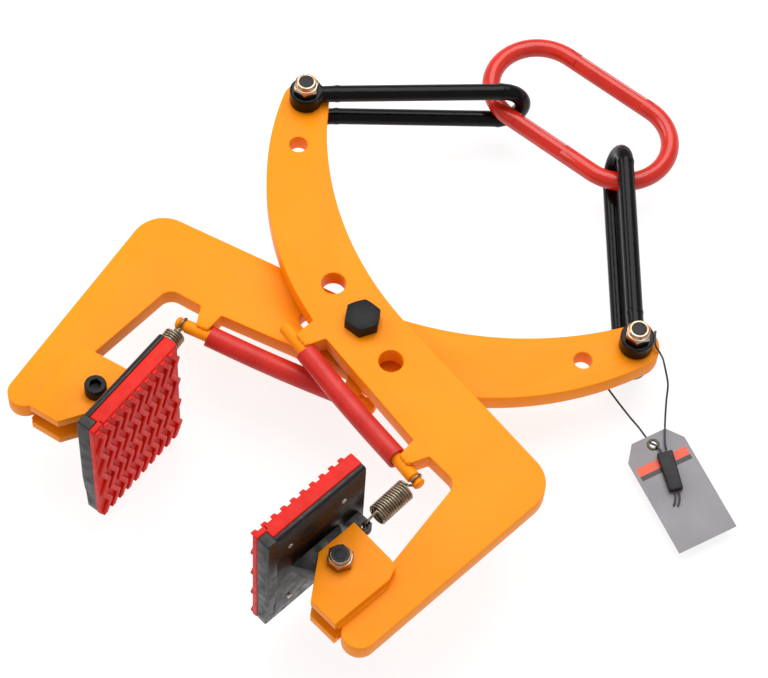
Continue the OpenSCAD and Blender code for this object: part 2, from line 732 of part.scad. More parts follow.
// Jaw bolts: the first has its nut on top, the second its head
module jaw_bolt(head_on_top) {
    translate([jaw[0], jaw[1], arm_t / 2])
        rotate([head_on_top ? 180 : 0, 0, 0]) translate([0, 0, -arm_t / 2 - cheek_t])
            cap_screw(jaw_bolt_d, jaw_head, arm_t + 2 * cheek_t + 1.05 * jaw_bolt_d);
}
module jaw_nut(on_top) {
    translate([jaw[0], jaw[1], arm_t / 2])
        rotate([on_top ? 0 : 180, 0, 0]) translate([0, 0, arm_t / 2 + cheek_t])
            lock_nut(jaw_bolt_d, 1.7 * jaw_bolt_d, jaw_bolt_d);
}
module jaw_bolt_a() { color("#26262a") on_side(false) jaw_bolt(false); }
module jaw_bolt_b() { color("#26262a") on_side(true) jaw_bolt(true); }
module jaw_nut_a() { color("#c9a060") on_side(false) jaw_nut(true); }
module jaw_nut_b() { color("#c9a060") on_side(true) jaw_nut(false); }

module pad_backing_a() { color("#2a2724") on_side(false) pad_backing(pad_lean_a); }
module pad_backing_b() { color("#2a2724") on_side(true) pad_backing(pad_lean_b); }
module pad_rubber_a() { color("#e8281e") on_side(false) pad_rubber(pad_lean_a); }
module pad_rubber_b() { color("#e8281e") on_side(true) pad_rubber(pad_lean_b); }
module pad_screws_a() { color("#b9a58c") on_side(false) pad_screws(pad_lean_a); }
module pad_screws_b() { color("#b9a58c") on_side(true) pad_screws(pad_lean_b); }
module return_spring_a() { color("#8d8778") on_side(false) return_spring(pad_lean_a); }
module return_spring_b() { color("#8d8778") on_side(true) return_spring(pad_lean_b); }

// The first link carries the ring on its lower leg, the second holds it from above
module link_a() {
    lower = ring_level - leg_offset;
    color("#1d1d20") on_side(false) link(link_turn, lower + link_rise, lower, 0);
}
module link_b() {
    upper = ring_level + level_drop + leg_offset;
    color("#1d1d20") on_side(true) link(link_turn_b, upper, upper - link_drop_b, link_shift_b);
}
module link_bolt() {
    translate([horn[0], horn[1], -eye_t - 2 * play])
        hex_bolt(link_bolt_d, link_head, arm_t + 2 * eye_t + 4 * play + 1.02 * link_bolt_d);
}
module link_nut() {
    translate([horn[0], horn[1], arm_t + eye_t + 2 * play])
        lock_nut(link_bolt_d, link_head[0], link_bolt_d);
}
module link_bolt_a() { color("#26262a") on_side(false) link_bolt(); }
module link_bolt_b() { color("#26262a") on_side(true) link_bolt(); }
module link_nut_a() { color("#c9a060") on_side(false) link_nut(); }
module link_nut_b() { color("#c9a060") on_side(true) link_nut(); }
module master_link() { color("#e3272b") on_bench() master_ring(); }

// Tag with cut shoulders, its eyelet, the seal on it and the wire rope
module tag_card() {
    color("#b5b5b6") on_bench() on_tag()
        difference() {
            linear_extrude(tag_t)
                polygon([[-tag_w / 2, 0], [tag_w / 2, 0], [tag_w / 2, tag_len - tag_shoulder],
                         [tag_top_w / 2, tag_len], [-tag_top_w / 2, tag_len],
                         [-tag_w / 2, tag_len - tag_shoulder]]);
            translate([0, eyelet_at, -1]) cylinder(h = 3, d = eyelet_hole_d + 1);
        }
}
module tag_eyelet() {
    color("#1c1c1e") on_bench() on_tag()
        translate([0, eyelet_at, 0]) {
            translate([0, 0, tag_t]) washer(eyelet_d, eyelet_hole_d, 0.6);
            washer(eyelet_hole_d + 0.9, eyelet_hole_d, tag_t + 0.1);
        }
}
module tag_seal() {
    color("#1c1c1e") on_bench() on_tag()
        translate([seal_foot[0], seal_foot[1], tag_t + 0.05])
            rotate([0, 0, seal_turn]) translate([-seal_size[0] / 2, 0, 0]) cube(seal_size);
}
module tag_cable() { color("#1c1c1e") on_bench() wire(smooth(route, 2), cable_d, 8); }
module cable_tails() {
    color("#1c1c1e") on_bench()
        for (tail = tail_routes)
            wire(smooth(tail, 2), cable_d, 8);
}

arm_a();
arm_b();
cheek_plates_a();
cheek_plates_b();
handle_rod_a();
handle_rod_b();
handle_sleeve_a();
handle_sleeve_b();
pivot_bolt();
pivot_bush();
pivot_spacer();
pivot_washer();
pivot_nut();
jaw_bolt_a();
jaw_bolt_b();
jaw_nut_a();
jaw_nut_b();
pad_backing_a();
pad_backing_b();
pad_rubber_a();
pad_rubber_b();
pad_screws_a();
pad_screws_b();
return_spring_a();
return_spring_b();
link_a();
link_b();
link_bolt_a();
link_bolt_b();
link_nut_a();
link_nut_b();
master_link();
tag_card();
tag_eyelet();
tag_seal();
tag_cable();
cable_tails();
lock_rings_a();
lock_rings_b();
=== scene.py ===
"""Looks of the slab lifting clamp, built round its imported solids."""

import json
import math
import random

import bpy
from mathutils import Matrix, Vector

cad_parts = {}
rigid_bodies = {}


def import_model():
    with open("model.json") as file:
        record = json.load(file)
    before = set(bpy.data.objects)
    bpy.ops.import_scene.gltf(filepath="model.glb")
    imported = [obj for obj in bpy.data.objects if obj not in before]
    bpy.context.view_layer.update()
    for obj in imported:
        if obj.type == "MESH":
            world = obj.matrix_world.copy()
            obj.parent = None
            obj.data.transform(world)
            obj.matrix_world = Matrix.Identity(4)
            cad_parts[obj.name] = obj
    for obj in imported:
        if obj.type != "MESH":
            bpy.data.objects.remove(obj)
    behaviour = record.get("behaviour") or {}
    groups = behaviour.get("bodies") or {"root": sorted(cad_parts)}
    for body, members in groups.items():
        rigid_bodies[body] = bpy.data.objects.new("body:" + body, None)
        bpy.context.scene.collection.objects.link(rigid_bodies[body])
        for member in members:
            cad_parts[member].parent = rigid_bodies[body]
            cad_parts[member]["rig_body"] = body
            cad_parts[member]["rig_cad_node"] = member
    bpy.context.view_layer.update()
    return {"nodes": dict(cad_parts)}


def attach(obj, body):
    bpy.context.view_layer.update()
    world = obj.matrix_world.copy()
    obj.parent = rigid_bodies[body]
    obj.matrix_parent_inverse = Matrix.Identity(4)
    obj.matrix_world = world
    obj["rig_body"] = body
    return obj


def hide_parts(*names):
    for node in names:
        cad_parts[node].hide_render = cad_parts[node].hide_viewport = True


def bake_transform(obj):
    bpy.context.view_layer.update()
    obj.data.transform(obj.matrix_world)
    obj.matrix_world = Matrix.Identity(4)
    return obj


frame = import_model()

# Places and sizes are in millimetres, from the main pivot at the lower face of the upper arm
MM = 0.001
BENCH = Vector((0, -49.823838, 74.0))
LEVEL_DROP = 21.5
ARM_T = 15
ROD_SLOPE = math.radians(-13.6)
ROD_DROP = 46.4
ROD_NECK = 111.5
JAW = (112.5, -161.5)
PAD_LEAN = {"a": math.radians(-6.5), "b": math.radians(-2.5)}
RING, RING_R, RING_BAR_R = (2, 262, -3.25), 37.5, 7

# The plane that the photographed clamp lies on
FLOOR_LEVEL = -59.5
FLOOR_SLOPE = (math.radians(0.58), math.radians(6.97))
# The bench is this much lower than that plane, so that the tag clears it as it swings
SWING_ROOM = 9

TAG_FOOT = (282, 51.4)
TAG_TURN = math.radians(64.9)
TAG_LIFT = math.radians(1.2)
TAG_GAP = 0.3
TAG_LEN, TAG_T = 90.4, 0.7


# Places

def at(x, y, z, side="a"):
    """A place on the first arm, or its mirror place on the second, in metres."""
    if side == "b":
        x, z = -x, z - LEVEL_DROP
    return (Vector((x, y, z)) + BENCH) * MM


def turned(x, y, angle):
    """A place turned about the origin."""
    return (x * math.cos(angle) - y * math.sin(angle),
            x * math.sin(angle) + y * math.cos(angle))


def at_rod(along, across, z, side="a"):
    """A place by the handle rod: along it, across it towards the notch, and in height."""
    x, y = turned(along, across, ROD_SLOPE)
    return at(x, y - ROD_DROP, z, side)


def at_pad(back, along, z, side="a"):
    """A place on a pad: towards the jaw bolt, along the pad, and from its mid height."""
    x, y = turned(back, along, PAD_LEAN[side])
    return at(x + JAW[0], y + JAW[1], z + ARM_T / 2, side)


def floor_z(x, y):
    """Height of the clamp's resting plane at a place."""
    return FLOOR_LEVEL + x * math.tan(FLOOR_SLOPE[0]) + y * math.tan(FLOOR_SLOPE[1])


def floor_turn():
    """The turn from level to the clamp's resting plane."""
    return Matrix.Rotation(-FLOOR_SLOPE[0], 3, "Y") @ Matrix.Rotation(FLOOR_SLOPE[1], 3, "X")


def tag_turn():
    """The turn that lays the tag on the resting plane."""
    return (floor_turn() @ Matrix.Rotation(TAG_TURN, 3, "Z")
            @ Matrix.Rotation(TAG_LIFT, 3, "X"))


def tag_at(x, y, z):
    """A place on the tag, from the middle of its foot, in metres."""
    foot = at(TAG_FOOT[0], TAG_FOOT[1], floor_z(*TAG_FOOT) + TAG_GAP)
    return foot + tag_turn() @ (Vector((x, y, z)) * MM)


# Camera

def aim_camera():
    """The photograph's view: long lens, high on the near right."""
    bpy.ops.object.camera_add()
    camera = bpy.context.object
    camera.name = "camera"
    right = Vector((0.7755, 0.6301, 0.0401))
    up = Vector((-0.5556, 0.6509, 0.5174))
    back = Vector((0.2999, -0.4235, 0.8548))
    turn = Matrix((right, up, back)).transposed().to_4x4()
    camera.matrix_world = Matrix.Translation(at(623.6, -851.8, 1732.2)) @ turn
    camera.data.sensor_width = 36
    camera.data.lens = 131.06
    camera.data.clip_start = 0.05
    camera.data.clip_end = 30
    bpy.context.scene.camera = camera


aim_camera()


# Material parts

SOCKETS = {"colour": "Base Color", "rough": "Roughness", "metal": "Metallic",
           "shine": "Specular IOR Level"}


def linear(code):
    """Linear colour of an sRGB hex code such as #f6a21c."""
    values = [int(code[i:i + 2], 16) / 255 for i in (1, 3, 5)]
    return [v / 12.92 if v <= 0.04045 else ((v + 0.055) / 1.055) ** 2.4 for v in values] + [1.0]


def add(tree, kind, sockets, **settings):
    """A node with its settings, and its sockets linked or set."""
    made = tree.nodes.new(kind)
    for name, value in settings.items():
        setattr(made, name, value)
    for name, value in sockets.items():
        feed(tree, made.inputs[name], value)
    return made


def feed(tree, socket, value):
    """Links a texture to a socket, or sets the socket's value."""
    if isinstance(value, bpy.types.NodeSocket):
        tree.links.new(value, socket)
    else:
        socket.default_value = value


def new_material(name):
    """An empty material with its shader, its node tree and its place on the piece."""
    made = bpy.data.materials.new(name)
    made.use_nodes = True
    tree = made.node_tree
    shader = tree.nodes["Principled BSDF"]
    place = add(tree, "ShaderNodeTexCoord", {}).outputs["Object"]
    return made, tree, shader, place


def dress(tree, shader, **looks):
    """Gives a shader its colour, roughness, metal and shine."""
    for name, value in looks.items():
        feed(tree, shader.inputs[SOCKETS[name]], value)


def between(tree, amount, low, high):
    """A colour between two hex colours by a texture's value, with its stops."""
    ramp = add(tree, "ShaderNodeValToRGB", {"Fac": amount})
    stops = ramp.color_ramp.elements
    stops[0].position, stops[0].color = low[0], linear(low[1])
    stops[1].position, stops[1].color = high[0], linear(high[1])
    return ramp.outputs["Color"]


def range_of(tree, value, source, target):
    """A value moved from one range to another, held at the ends."""
    return add(tree, "ShaderNodeMapRange", {
        "Value": value, "From Min": source[0], "From Max": source[1],
        "To Min": target[0], "To Max": target[1]}).outputs["Result"]


def mix(tree, amount, first, second):
    """Two colours mixed."""
    return add(tree, "ShaderNodeMix", {0: amount, 6: first, 7: second},
               data_type="RGBA").outputs[2]


def times(tree, first, second):
    """Two values multiplied."""
    return add(tree, "ShaderNodeMath", {0: first, 1: second}, operation="MULTIPLY").outputs[0]


def cloud(tree, place, size, detail, rough=0.5):
    """Soft noise whose lumps are about size millimetres."""
    return add(tree, "ShaderNodeTexNoise", {
        "Vector": place, "Scale": 1000 / size, "Detail": detail,
        "Roughness": rough}).outputs["Fac"]


def cells(tree, place, size):
    """Distance to the nearest point of a scatter about size millimetres apart."""
    return add(tree, "ShaderNodeTexVoronoi", {
        "Vector": place, "Scale": 1000 / size}).outputs["Distance"]


def specks(tree, place, apart, reach, patch, rare, most):
    """Small specks, some way apart, that come only where a broad noise is high."""
    spots = range_of(tree, cells(tree, place, apart), (0.0, reach), (1.0, 0.0))
    where = range_of(tree, cloud(tree, place, *patch), rare, (0.0, most))
    return times(tree, spots, where)


def bump(tree, shader, height, depth, strength, under=None):
    """A surface relief of a depth in millimetres."""
    sockets = {"Height": height, "Distance": depth * MM, "Strength": strength}
    if under is not None:
        sockets["Normal"] = under
    normal = add(tree, "ShaderNodeBump", sockets).outputs["Normal"]
    tree.links.new(normal, shader.inputs["Normal"])
    return normal


def band(tree, value, low, high):
    """One inside a stretch of millimetres, nothing outside."""
    above = add(tree, "ShaderNodeMath", {0: value, 1: low * MM}, operation="GREATER_THAN")
    below = add(tree, "ShaderNodeMath", {0: value, 1: high * MM}, operation="LESS_THAN")
    return times(tree, above.outputs[0], below.outputs[0])


# Materials

def orange_enamel():
    """Orange-yellow enamel sprayed on flame-cut plate: a soft broad sheen, a little orange
    peel, and a few dust nibs and pin chips."""
    made, tree, shader, place = new_material("orange_enamel")
    body = between(tree, cloud(tree, place, 120, 2), (0.3, "#f08806"), (0.7, "#f58e09"))
    chip = specks(tree, place, 21, 0.028, (60, 1), (0.56, 0.6), 1.0)
    dress(tree, shader, colour=mix(tree, chip, body, linear("#8a5a1c")), shine=0.12,
          rough=range_of(tree, cloud(tree, place, 35, 4), (0.3, 0.7), (0.36, 0.46)))
    peel = bump(tree, shader, cloud(tree, place, 2.2, 2), 0.02, 0.6)
    bump(tree, shader, cloud(tree, place, 30, 2), 0.12, 0.5, peel)
    return made


def red_enamel():
    """Red gloss enamel on a forged and welded ring: wet highlights, fine dust under the
    paint and small dark knocks."""
    made, tree, shader, place = new_material("red_enamel")
    body = between(tree, cloud(tree, place, 25, 3), (0.3, "#b81f10"), (0.7, "#ca2613"))
    knock = specks(tree, place, 6.5, 0.12, (16, 2), (0.5, 0.6), 0.85)
    dress(tree, shader, colour=mix(tree, knock, body, linear("#4a1512")), shine=0.4,
          rough=range_of(tree, cloud(tree, place, 5, 4), (0.3, 0.7), (0.14, 0.24)))
    bump(tree, shader, cloud(tree, place, 4, 4), 0.06, 0.7)
    return made


def black_lacquer():
    """Black gloss lacquer on drawn round bar: long streak highlights, faint scuffs."""
    made, tree, shader, place = new_material("black_lacquer")
    scuff = cloud(tree, place, 14, 5, 0.6)
    dress(tree, shader, colour=between(tree, scuff, (0.35, "#050405"), (0.75, "#0c0a0c")),
          rough=range_of(tree, scuff, (0.3, 0.7), (0.14, 0.26)), shine=0.14)
    bump(tree, shader, cloud(tree, place, 6, 3), 0.05, 0.6)
    return made


def black_oxide():
    """Black oxide on a high-tensile bolt: dark blue-grey, dull on the forged faces."""
    made, tree, shader, place = new_material("black_oxide")
    stain = cloud(tree, place, 5, 4, 0.6)
    dress(tree, shader, colour=between(tree, stain, (0.3, "#0c0b0e"), (0.75, "#151418")),
          rough=range_of(tree, stain, (0.3, 0.7), (0.38, 0.55)), metal=0.1, shine=0.2)
    bump(tree, shader, cloud(tree, place, 1.2, 3), 0.03, 0.5)
    return made


def black_paint():
    """Thin black paint brushed on the steel backing: uneven gloss, brown and grey dust."""
    made, tree, shader, place = new_material("black_paint")
    body = between(tree, cloud(tree, place, 30, 3), (0.35, "#080606"), (0.7, "#120c0a"))
    dust = range_of(tree, cloud(tree, place, 9, 5, 0.65), (0.6, 0.75), (0.0, 0.25))
    dress(tree, shader, colour=mix(tree, dust, body, linear("#5a5450")), shine=0.3,
          rough=range_of(tree, cloud(tree, place, 7, 4), (0.3, 0.7), (0.22, 0.5)))
    bump(tree, shader, cloud(tree, place, 3, 4), 0.08, 0.6)
    return made


def yellow_zinc():
    """Yellow-passivated zinc on turned nuts: bright metal whose tint drifts from silver to
    copper and straw."""
    made, tree, shader, place = new_material("yellow_zinc")
    tint = cloud(tree, place, 7, 2)
    warm = between(tree, tint, (0.38, "#a99d90"), (0.62, "#b0764a"))
    straw = range_of(tree, cloud(tree, place, 4, 2), (0.5, 0.7), (0.0, 0.6))
    dress(tree, shader, colour=mix(tree, straw, warm, linear("#9d9a80")),
          rough=range_of(tree, tint, (0.3, 0.7), (0.18, 0.3)), metal=1.0)
    bump(tree, shader, cloud(tree, place, 0.8, 2), 0.015, 0.5)
    return made


def grey_zinc():
    """Grey zinc plate on washers and screws: pale, slightly crystalline metal."""
    made, tree, shader, place = new_material("grey_zinc")
    bloom = cloud(tree, place, 3, 4)
    dress(tree, shader, colour=between(tree, bloom, (0.3, "#a8a39c"), (0.7, "#cfc9c2")),
          rough=range_of(tree, bloom, (0.3, 0.7), (0.3, 0.45)), metal=0.9)
    return made


def spring_wire():
    """Oiled drawn spring wire: brownish bright steel, a little uneven in its sheen."""
    made, tree, shader, place = new_material("spring_wire")
    tint = cloud(tree, place, 5, 3)
    dress(tree, shader, colour=between(tree, tint, (0.3, "#6f6350"), (0.7, "#a29682")),
          rough=range_of(tree, tint, (0.3, 0.7), (0.24, 0.36)), metal=0.9)
    return made


def bronze():
    """Turned bronze bush: warm and satin."""
    made, tree, shader, place = new_material("bronze")
    warm = between(tree, cloud(tree, place, 4, 3), (0.3, "#9a7a48"), (0.7, "#b6935c"))
    dress(tree, shader, colour=warm, rough=0.35, metal=1.0)
    return made


def red_hose():
    """Red PVC hose pushed on the handle rod: soft gloss with rubbed, chalky patches."""
    made, tree, shader, place = new_material("red_hose")
    body = between(tree, cloud(tree, place, 22, 3), (0.3, "#b81f17"), (0.7, "#c7291f"))
    rubbed = range_of(tree, cloud(tree, place, 6, 5, 0.65), (0.62, 0.78), (0.0, 0.35))
    dress(tree, shader, colour=mix(tree, rubbed, body, linear("#ee7a70")), shine=0.3,
          rough=range_of(tree, cloud(tree, place, 8, 3), (0.3, 0.7), (0.34, 0.46)))
    bump(tree, shader, cloud(tree, place, 5, 3), 0.06, 0.5)
    return made


def red_rubber():
    """Moulded red polyurethane: satin face, dull dusty patches, faint mould marks."""
    made, tree, shader, place = new_material("red_rubber")
    body = between(tree, cloud(tree, place, 14, 4), (0.3, "#c4170c"), (0.7, "#d81f12"))
    dust = range_of(tree, cloud(tree, place, 5, 5, 0.65), (0.55, 0.75), (0.0, 0.3))
    dress(tree, shader, colour=mix(tree, dust, body, linear("#a3362c")), shine=0.15,
          rough=range_of(tree, cloud(tree, place, 6, 4), (0.3, 0.7), (0.36, 0.55)))
    bump(tree, shader, cloud(tree, place, 2.5, 4), 0.1, 0.6)
    return made


def black_plastic():
    """Black nylon of the seal and the nuts' rings: fine moulded grain, soft sheen."""
    made, tree, shader, place = new_material("black_plastic")
    body = between(tree, cloud(tree, place, 5, 3), (0.3, "#1a191c"), (0.7, "#262428"))
    dress(tree, shader, colour=body, rough=0.5, shine=0.25)
    bump(tree, shader, cloud(tree, place, 0.7, 2), 0.03, 0.6)
    return made


def cable_coat():
    """Black plastic coat on twisted wire rope, uneven over its strands."""
    made, tree, shader, place = new_material("cable_coat")
    body = between(tree, cloud(tree, place, 2, 3), (0.3, "#1a191c"), (0.7, "#2e2c31"))
    dress(tree, shader, colour=body, rough=0.42)
    bump(tree, shader, cloud(tree, place, 1.0, 2), 0.08, 0.7)
    return made


def eyelet_metal():
    """Gunmetal lacquer on a pressed brass eyelet: dark olive metal."""
    made, tree, shader, place = new_material("eyelet_metal")
    body = between(tree, cloud(tree, place, 2, 2), (0.3, "#3c3a2c"), (0.7, "#58543f"))
    dress(tree, shader, colour=body, rough=0.32, metal=0.8)
    return made


def grey_card():
    """Matt laminated card with a plain orange band over a thin black one, both bare."""
    made, tree, shader, place = new_material("grey_card")
    local = add(tree, "ShaderNodeMapping", {
        "Vector": place, "Location": tag_at(0, 0, 0), "Rotation": tag_turn().to_euler()},
        vector_type="TEXTURE").outputs["Vector"]
    axes = add(tree, "ShaderNodeSeparateXYZ", {"Vector": local}).outputs
    colour = between(tree, cloud(tree, place, 30, 3), (0.3, "#767378"), (0.7, "#827f84"))
    inside = band(tree, axes["X"], -20.5, 20.5)
    for low, high, code in ((64.5, 71.5, "#d84410"), (60.8, 64.5, "#161417")):
        stripe = times(tree, inside, band(tree, axes["Y"], low, high))
        colour = mix(tree, stripe, colour, linear(code))
    dress(tree, shader, colour=colour, rough=0.42)
    bump(tree, shader, cloud(tree, place, 40, 2), 0.3, 0.4)
    return made


COAT = cable_coat()
PLASTIC = black_plastic()
EYELET = eyelet_metal()
ENAMEL = orange_enamel()
RED = red_enamel()
LACQUER = black_lacquer()
OXIDE = black_oxide()
PAINT = black_paint()
ZINC = yellow_zinc()
GREY = grey_zinc()
SPRING = spring_wire()
BRONZE = bronze()
HOSE = red_hose()
RUBBER = red_rubber()


# Ways of working

def select_only(piece):
    """Makes one piece the only one that operators act on."""
    bpy.ops.object.select_all(action="DESELECT")
    piece.hide_viewport = False
    piece.select_set(True)
    bpy.context.view_layer.objects.active = piece


def edit_all(piece):
    """Opens a piece with all of it selected."""
    select_only(piece)
    bpy.ops.object.mode_set(mode="EDIT")
    bpy.ops.mesh.select_all(action="SELECT")


def close_edit():
    """Closes the piece that is open."""
    bpy.ops.object.mode_set(mode="OBJECT")


def new_shape(operator, **settings):
    """A piece that starts from one of the program's own shapes."""
    bpy.ops.object.select_all(action="DESELECT")
    operator(**settings)
    return bpy.context.object


def finish_piece(piece, name, material, body, node=None, angle=40):
    """Names a finished piece, gives it its material and hangs it on its body."""
    piece.name = name
    piece.data.name = name
    select_only(piece)
    bpy.ops.object.transform_apply(location=True, rotation=True, scale=True)
    bpy.ops.object.shade_smooth_by_angle(angle=math.radians(angle))
    piece.data.materials.clear()
    piece.data.materials.append(material)
    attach(piece, body)
    if node:
        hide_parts(node)
    return piece


def apply_modifier(piece, kind, **settings):
    """Adds a modifier and applies it."""
    select_only(piece)
    made = piece.modifiers.new(kind.lower(), kind)
    for name, value in settings.items():
        setattr(made, name, value)
    bpy.ops.object.modifier_apply(modifier=made.name)


def round_edges(piece, width, angle, rows=2):
    """Rounds over the edges that are sharper than an angle."""
    apply_modifier(piece, "BEVEL", width=width * MM, segments=rows, limit_method="ANGLE",
                   angle_limit=math.radians(angle))


def copy_of(node):
    """A solid's own mesh as one clean surface."""
    select_only(frame["nodes"][node])
    bpy.ops.object.duplicate()
    piece = bpy.context.object
    piece.parent = None
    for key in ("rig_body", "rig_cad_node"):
        if key in piece:
            del piece[key]
    piece.data.materials.clear()
    edit_all(piece)
    bpy.ops.mesh.remove_doubles(threshold=0.01 * MM)
    bpy.ops.mesh.dissolve_limited(angle_limit=math.radians(0.5))
    close_edit()
    return piece


def eased(node, width, material, body, rows=2):
    """A solid with its sharp edges rounded over."""
    piece = copy_of(node)
    round_edges(piece, width, 32, rows)
    return finish_piece(piece, node + "_finished", material, body, node)


def plain(node, material):
    """A solid that shows as it is, with its finish."""
    mesh = frame["nodes"][node].data
    mesh.materials.clear()
    mesh.materials.append(material)
    for face in mesh.polygons:
        face.material_index = 0


def joined(first, others):
    """The first piece with the others joined to it."""
    select_only(first)
    for other in others:
        other.select_set(True)
    bpy.ops.object.join()
    return first


def tube(name, points, radius, widths=None, turns=4):
    """A round bar along points, as a curve."""
    curve = bpy.data.curves.new(name, "CURVE")
    curve.dimensions = "3D"
    spline = curve.splines.new("POLY")
    spline.points.add(len(points) - 1)
    for i, p in enumerate(points):
        spline.points[i].co = (*p, 1)
        if widths:
            spline.points[i].radius = widths[i]
    curve.bevel_depth = radius * MM
    curve.bevel_resolution = turns
    curve.use_fill_caps = True
    piece = bpy.data.objects.new(name, curve)
    bpy.context.scene.collection.objects.link(piece)
    return piece


def as_mesh(piece):
    """Turns a curve into its mesh."""
    select_only(piece)
    bpy.ops.object.convert(target="MESH")
    return bpy.context.object


def smooth_line(points, steps):
    """A smooth line through points, with a few steps between each pair."""
    line = []
    last = len(points) - 1
    for i in range(last):
        a, b = points[max(i - 1, 0)], points[i]
        c, d = points[i + 1], points[min(i + 2, last)]
        for k in range(steps):
            t = k / steps
            line.append(0.5 * (2 * b + (c - a) * t + (2 * a - 5 * b + 4 * c - d) * t * t
                               + (3 * b - a - 3 * c + d) * t ** 3))
    return line + [points[last]]


def line_length(points):
    """Length of a line through points."""
    return sum((q - p).length for p, q in zip(points, points[1:]))


# The tag's wire rope comes first, with what is on it

ROUTE = [(217.6, 87.2, -41.6), (213.6, 90.6, -40.1), (208.6, 97.2, -40.6),
         (202.1, 106.3, -39.2), (194.2, 117.8, -35.1), (188.3, 127.1, -31.6),
         (181.8, 132.6, -27.5), (177.8, 134.6, -22), (176.2, 133.2, -14), (174.4, 130.4, -5.2),
         (168.8, 131.9, -1.8), (163.5, 139, -2.2), (160.8, 144.2, -7), (158, 146.8, -16),
         (153.5, 147.8, -27), (146.5, 146, -34.6), (138, 141, -37.6), (131.5, 133, -38.3),
         (129, 123, -39.2), (132, 114, -40.6), (140.5, 107, -42.2), (150, 103.3, -43.2),
         (165.5, 98.4, -44.6), (180, 94, -45.2), (190, 91.3, -45.3), (203.1, 86.9, -45.6),
         (206.9, 86.3, -44.1), (209.5, 85.8, -42.6), (215.3, 84.2, -41.9)]
TAILS = [[(242.1, 65.1, -45.5), (244.4, 62.5, -46), (246.2, 59.5, -46.8), (247.2, 56.6, -47.4)],
         [(243.6, 67.3, -45.2), (246, 65.1, -45.7), (248.3, 61.9, -46.5), (249.7, 58.4, -47.1)]]
CABLE_R = 0.75
CABLE_STEPS = 4


def cable(name, places):
    """Wire rope along places, with its line."""
    line = smooth_line([at(*p) for p in places], CABLE_STEPS)
    return tube(name, line, CABLE_R, turns=3), line


def wire_rope():
    """The rope of the tag, out of the seal, round the link's leg and back to it."""
    rope, line = cable("wire_rope", ROUTE)
    rope.data.materials.append(COAT)
    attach(rope, "link_b")
    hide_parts("tag_cable")


def rope_tails():
    """The two cut ends of the rope below the seal."""
    first, second = [as_mesh(cable("rope_tails", tail)[0]) for tail in TAILS]
    return finish_piece(joined(first, [second]), "rope_tails", COAT, "link_b",
                        "cable_tails")


def on_tag(piece):
    """Lays a piece made about the tag's foot on the tag."""
    bpy.context.view_layer.update()
    lay = Matrix.Translation(tag_at(0, 0, 0)) @ tag_turn().to_4x4()
    piece.matrix_world = lay @ piece.matrix_world


def seal():
    """Moulded seal: a long block with rounded edges, a lower step at its top end and a
    narrower foot."""
    width, length, height = 12, 31, 5.4
    step_from, step_to, step_drop = 0.19, 0.27, 0.7
    foot_from, foot_width = -0.4, 0.86
    piece = new_shape(bpy.ops.mesh.primitive_cube_add, size=MM)
    piece.scale = (width, length, height)
    turn = Matrix.Rotation(math.radians(-12.1), 3, "Z")
    middle = Vector((-2.7, 42.9, TAG_T + height / 2)) + turn @ Vector((0, length / 2, 0))
    piece.location = middle * MM
    piece.rotation_euler = turn.to_euler()
    bpy.ops.object.transform_apply(location=False, rotation=False, scale=True)
    edit_all(piece)
    for cut in (step_from, step_to):
        bpy.ops.mesh.select_all(action="SELECT")
        bpy.ops.mesh.bisect(plane_co=(0, cut * length * MM, 0), plane_no=(0, 1, 0))
    close_edit()
    for v in piece.data.vertices:
        if v.co.y > (step_to - 0.02) * length * MM and v.co.z > 0:
            v.co.z -= step_drop * MM
        if v.co.y < foot_from * length * MM:
            v.co.x *= foot_width
    bpy.context.view_layer.update()
    round_edges(piece, 1.3, 25, 4)
    on_tag(piece)
    return finish_piece(piece, "seal", PLASTIC, "link_b", "tag_seal")


def eyelet():
    """Pressed eyelet: a domed flange round its hole."""
    ring_r, flange_r, from_end = 3.6, 1.1, 7.4
    piece = new_shape(bpy.ops.mesh.primitive_torus_add, major_radius=ring_r * MM,
                      minor_radius=flange_r * MM, major_segments=48, minor_segments=14)
    piece.scale = (1, 1, 0.6)
    piece.location = Vector((0, TAG_LEN - from_end, TAG_T)) * MM
    on_tag(piece)
    return finish_piece(piece, "eyelet", EYELET, "link_b", "tag_eyelet")


tag_pieces = [seal(), eyelet(), rope_tails()]
frame["nodes"]["tag_card"].data.materials.clear()
frame["nodes"]["tag_card"].data.materials.append(grey_card())
tag_pieces.append(frame["nodes"]["tag_card"])
wire_rope()


# Steel

for side in "ab":
    arm = "arm_" + side
    eased("arm_" + side, 0.9, ENAMEL, arm, 3)
    eased("cheek_plates_" + side, 0.8, ENAMEL, arm, 3)
    plain("handle_rod_" + side, ENAMEL)
    eased("jaw_bolt_" + side, 0.35, OXIDE, arm)
    eased("jaw_nut_" + side, 0.25, ZINC, arm)
    eased("link_bolt_" + side, 0.35, OXIDE, arm)
    eased("link_nut_" + side, 0.25, ZINC, arm)
    eased("pad_screws_" + side, 0.3, GREY, "pad_" + side)
eased("pivot_bolt", 0.4, OXIDE, "arm_a")
eased("pivot_nut", 0.35, OXIDE, "arm_a")
eased("pivot_washer", 0.3, GREY, "arm_a")
eased("pivot_spacer", 0.3, GREY, "arm_a")
plain("pivot_bush", BRONZE)


